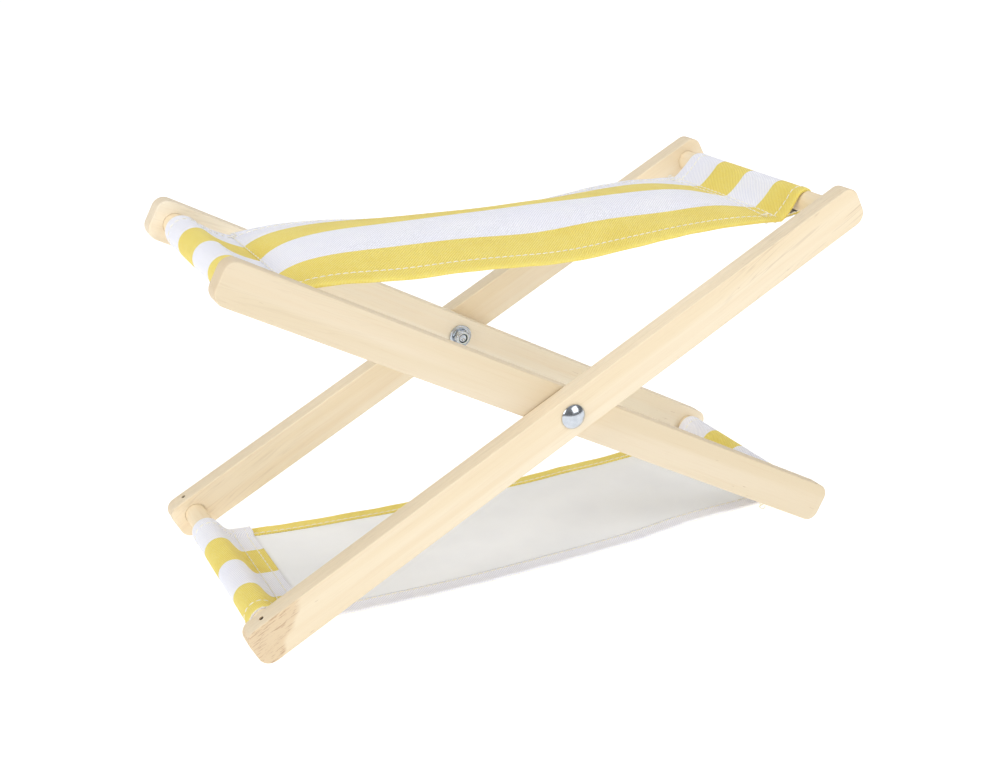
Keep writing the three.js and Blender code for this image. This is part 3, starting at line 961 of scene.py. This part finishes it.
def sling_mesh(sling, printed, back):
    """The whole hemmed strip as one closed body with the cloth's real thickness."""
    rows, unfolded = cross_section()
    way = unit(np.gradient(rows, axis=0))
    out = np.stack([-way[:, 1], way[:, 0]], axis=-1)
    count = len(rows)
    shell = np.concatenate([rows + out * CLOTH / 2, (rows - out * CLOTH / 2)[::-1]])
    y = np.clip(shell[:, 0], -HALF_WIDTH, HALF_WIDTH)
    points = strip(sling, y)
    normals = strip_normals(sling, y)
    run = run_of(strip(sling, np.array([0.0]))[:, 0])
    lift = shell[None, :, 1] + relief(run[:, None], y[None, :])
    points = points + normals * lift[..., None]
    to_end = np.minimum(run, run[-1] - run)[:, None]
    drawn_in = sling.flap_in * np.clip((FLAP + 36 - to_end) / 14, 0, 1) * (y[None, :] / HALF_WIDTH) ** 3
    points[..., 1] += (shell[:, 0] - y)[None, :] - drawn_in

    columns, around = points.shape[:2]
    number = np.arange(columns * around).reshape(columns, around).tolist()
    faces, picks = [], []
    for k in range(around):
        after = (k + 1) % around
        pick = 0 if k < count or k == around - 1 else 1
        for i in range(columns - 1):
            faces.append((number[i][k], number[i][after], number[i + 1][after], number[i + 1][k]))
            picks.append(pick)
    for end in (number[0], number[-1]):
        for k in range(count - 1):
            faces.append((end[k], end[k + 1], end[around - 2 - k], end[around - 1 - k]))
            picks.append(0)
    u = np.broadcast_to(run[:, None], (columns, around))
    v = np.broadcast_to(np.concatenate([unfolded, unfolded[::-1]])[None, :], (columns, around))
    uvs = np.stack([u, v], axis=-1).reshape(-1, 2)
    piece = make(sling.name + "_canvas", lifted(points.reshape(-1, 3)), faces, [printed, back], picks, uvs)
    return piece, float(run[-1]), float(unfolded[-1] * 2)


def lifted(points):
    """Points measured from the pivot, as points above the ground."""
    return np.asarray(points) + np.array([0, 0, PIVOT_Z])


# -------------------- stitching


def tube(line, radius, sides=6):
    """Points, faces and cloth places of a thin closed tube along a line."""
    line = np.asarray(line, float)
    way = unit(np.gradient(line, axis=0))
    helper = np.array([0.13, 0.31, 0.94])
    side = unit(np.cross(way, helper))
    up = np.cross(side, way)
    run = run_of(line)
    points, uvs = [], []
    for i in range(len(line)):
        narrow = radius * (0.6 if i in (0, len(line) - 1) else 1)
        for k in range(sides):
            angle = 2 * math.pi * k / sides
            points.append(line[i] + narrow * (math.cos(angle) * side[i] + math.sin(angle) * up[i]))
            uvs.append((run[i], angle * radius * 4))
    caps = [tuple(range(sides)), tuple(range(len(points) - sides, len(points)))]
    return points, band_faces(len(line), sides) + caps, uvs


def stitch_row(line, normals, first, last):
    """Stitches along a line on the cloth, each dipping into it at both ends."""
    run = run_of(line)
    made = []
    start = first
    while start + STITCH_LENGTH < last:
        share = np.linspace(0, 1, 6)
        at = start + STITCH_LENGTH * share
        place = np.stack([np.interp(at, run, line[:, k]) for k in range(3)], axis=-1)
        out = unit(np.stack([np.interp(at, run, normals[:, k]) for k in range(3)], axis=-1))
        height = THREAD_RADIUS * (1.5 * np.sin(math.pi * share) ** 0.6 - 0.9)
        made.append(tube(place + out * height[:, None], THREAD_RADIUS))
        start += STITCH_PITCH
    return made


def hem_rows(sling):
    """Stitching along both side hems, on the printed side and on the hem's side."""
    made = []
    hem_y = HALF_WIDTH - HEM + 0.6
    for side in (-1, 1):
        y = np.array([side * hem_y])
        line = strip(sling, y)[:, 0]
        normals = strip_normals(sling, y)[:, 0]
        run = run_of(line)
        raised = relief(run, y[0])[:, None]
        flap_end = FLAP + 1.0
        for depth, sign in ((CLOTH / 2, 1), (-LAYER - CLOTH / 2, -1)):
            surface = line + normals * (depth + raised)
            made += stitch_row(surface, normals * sign, flap_end, run[-1] - flap_end)
    return made


def seam_rows(sling):
    """The rows of stitching across each end, through panel and flap."""
    made = []
    reach = HALF_WIDTH - sling.flap_in * 0.4 - 1.0
    y = np.linspace(-reach, reach, 80)
    for side, seam_x, rows in zip((-1, 1), sling.seams, sling.sewn_at):
        for inboard in rows:
            x = np.full_like(y, seam_x - side * inboard)
            z = sling.height(x, y)
            up = np.tile([0.0, 0.0, 1.0], (len(y), 1)) * sling.over
            on_panel = sling.at(x, y, z + sling.over * (CLOTH / 2))
            on_flap = sling.at(x, y, z - sling.over * (layers_apart(y) + CLOTH / 2))
            made += stitch_row(on_panel, up, 0.5, 2 * reach)
            made += stitch_row(on_flap, -up, 0.5, 2 * reach)
    return made


def loose_threads(sling):
    """Curled thread ends left at both ends of each seam."""
    made = []
    draw = random.Random(7)
    share = np.linspace(0, 1, 48)
    for side, seam_x, rows in zip((-1, 1), sling.seams, sling.sewn_at):
        for way in (-1, 1):
            x = np.full(1, seam_x - side * rows[-1])
            y = np.full(1, way * (HALF_WIDTH - sling.flap_in - 1.5))
            start = sling.at(x, y, sling.height(x, y) + sling.over * 0.6)[0]
            turns = draw.uniform(1.3, 2.0)
            phase = draw.uniform(0, 2 * math.pi)
            wide = 1.9 * np.sqrt(share)
            curl = 2 * math.pi * turns * share + phase
            x = start[0] + wide * (np.cos(curl) - math.cos(phase)) - side * 2.5 * share
            y = start[1] + way * 3.0 * share + 0.5 * wide * (np.sin(curl) - math.sin(phase))
            z = start[2] + sling.over * (0.5 * wide + 1.2 * share * np.abs(np.sin(curl)))
            made.append(tube(np.stack([x, y, z], axis=-1), THREAD_RADIUS * 0.8))
    return made


def stitch_mesh(sling, material):
    points, faces, uvs = merged(hem_rows(sling) + seam_rows(sling) + loose_threads(sling))
    return make(sling.name + "_stitching", lifted(points), faces, [material], uvs=uvs)


def sling(shape, printed, back, sewing, left_body, right_body):
    """A sling and its stitching, in place of its CAD solid."""
    cloth, length, width = sling_mesh(shape, printed, back)
    stitches = stitch_mesh(shape, sewing)
    reach = (DOWEL_X + shape.bend_past) * MM
    for piece in (cloth, stitches):
        -reach
        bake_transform(piece)
    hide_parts(shape.name)


# -------------------- camera, light and floor

CAMERA_LENS = 51.43         # on a sensor 36 wide
CAMERA_PLACE = (-293.0, -608.3, 248.8)      # from the pivot
CAMERA_TURN = -25.58        # degrees from +Y
CAMERA_DOWN = 20.9
CAMERA_ROLL = -0.37


def turn(degrees, axis):
    return Matrix.Rotation(math.radians(degrees), 4, axis)


def camera():
    """Where the photograph was taken from: left of the front, looking down."""
    data = bpy.data.cameras.new("camera")
    data.sensor_width = 36
    data.lens = CAMERA_LENS
    data.clip_start = 0.01
    data.clip_end = 60
    made = bpy.data.objects.new("camera", data)
    place = Matrix.Translation((Vector(CAMERA_PLACE) + Vector((0, 0, PIVOT_Z))) * MM)
    made.matrix_world = place @ turn(CAMERA_TURN, "Z") @ turn(90 - CAMERA_DOWN, "X") @ turn(CAMERA_ROLL, "Z")
    bpy.context.scene.collection.objects.link(made)
    bpy.context.scene.camera = made


def softbox(name, place, size, power, fill=False):
    """A soft light aimed at the pivot. A fill brightens shadows without showing in the metal."""
    data = bpy.data.lights.new(name, "AREA")
    data.shape = "RECTANGLE"
    data.size, data.size_y = size
    data.energy = power
    made = bpy.data.objects.new(name, data)
    made.location = place
    made.visible_glossy = not fill
    aim = Vector((0, 0, PIVOT_Z * MM)) - made.location
    made.rotation_euler = aim.to_track_quat("-Z", "Y").to_euler()
    bpy.context.scene.collection.objects.link(made)


def studio():
    """Three soft lights, two fills, and a surround that is white behind the object but lights it grey."""
    world = bpy.data.worlds.new("surround")
    world.use_nodes = True
    tree = world.node_tree
    rise = separated(put(tree, "TexCoord", output="Generated"))[2]
    grey = spread(blur_step(rise, 0.25, 0.75), 0.20, 0.28)
    seen = put(tree, "LightPath", output="Is Camera Ray")
    feed(tree.nodes["Background"], {"Color": (1, 1, 1, 1), "Strength": grey.math("MAXIMUM", seen)})
    bpy.context.scene.world = world
    bpy.context.scene.view_settings.view_transform = "Standard"

    softbox("key", (0.75, -1.35, 1.1), (1.3, 1.1), 10)
    softbox("side", (-1.6, -0.5, 1.0), (1.2, 1.0), 14)
    softbox("overhead", (-0.1, 0.3, 2.0), (1.8, 1.8), 14)
    softbox("front_fill", (-0.7, -1.7, 0.45), (2.2, 0.8), 4, fill=True)
    softbox("far_fill", (1.4, 1.2, 0.8), (2.0, 1.0), 9, fill=True)


def floor():
    """A white sheet that glows, so that only a faint shadow falls on it."""
    material, tree, shader = new_material("pale_floor")
    speck = noise(put(tree, "TexCoord", output="Object"), 3.0, 1.0, 2.0)
    colour = mix(speck, (0.24, 0.24, 0.24, 1), (0.27, 0.27, 0.27, 1))
    feed(shader, {"Base Color": colour, "Roughness": 0.9, "Specular IOR Level": 0.1,
                  "Emission Color": (1, 1, 1, 1), "Emission Strength": 0.97})
    half = 9000
    corners = [(-half, -half, 0), (half, -half, 0), (half, half, 0), (-half, half, 0)]
    make("floor", corners, [(0, 1, 2, 3)], [material])


# -------------------- the object

PALEST_PINE = linear(249, 240, 220)
LIGHT_PINE = linear(246, 232, 206)
DARK_PINE = linear(241, 223, 191)
WARM_PINE = linear(236, 221, 195)
WARM_DARK_PINE = linear(230, 213, 182)
LIGHT_DOWEL = linear(244, 228, 198)
DARK_DOWEL = linear(238, 218, 182)

LEG_LOOKS = {
    ("outer", "front"): dict(light=LIGHT_PINE, dark=DARK_PINE, hairs=0.35, hair_end=1,
                             patch_from=-LEG_LENGTH / 2 + PATCH_LENGTH),
    ("outer", "back"): dict(light=LIGHT_PINE, dark=DARK_PINE, hairs=0.2, hair_end=-1),
    ("inner", "front"): dict(light=WARM_PINE, dark=WARM_DARK_PINE, hairs=0.08, hair_end=-1),
    ("inner", "back"): dict(light=PALEST_PINE, dark=LIGHT_PINE, hairs=0.12, hair_end=-1),
}
DOWELS = [(kind, place) for kind in ("outer", "inner") for place in ("top", "foot")]

camera()
studio()
floor()

for number, ((kind, side), look) in enumerate(LEG_LOOKS.items()):
    leg(kind, side, wood(f"pine_{kind}_{side}", number, 0, **look))

for number, (kind, place) in enumerate(DOWELS, len(LEG_LOOKS) + 1):
    dowel(kind, place, wood(f"dowel_{kind}_{place}", number, 1, LIGHT_DOWEL, DARK_DOWEL))

zinc = plated("zinc_plate", linear(206, 212, 220), linear(190, 197, 206), 0.17)
white_nylon = nylon("white_nylon")
for side in ("front", "back"):
    hardware(side, zinc, white_nylon)

brad_steel = plated("brad_steel", linear(96, 84, 74), linear(70, 60, 52), 0.45)
for name, node in frame["nodes"].items():
    if name.startswith("brad_"):
        node.data.materials.clear()
        node.data.materials.append(brad_steel)

sewing = thread("sewing_thread")
printed_up = canvas_print("canvas_printed_up", False, 1.0)
plain_under = canvas_back("canvas_plain_under", False)
printed_down = canvas_print("canvas_printed_down", True, -0.5)
plain_above = canvas_back("canvas_plain_above", True)
sling(SEAT, printed_up, plain_under, sewing, "inner_frame", "outer_frame")
sling(BASE, printed_down, plain_above, sewing, "outer_frame", "inner_frame")
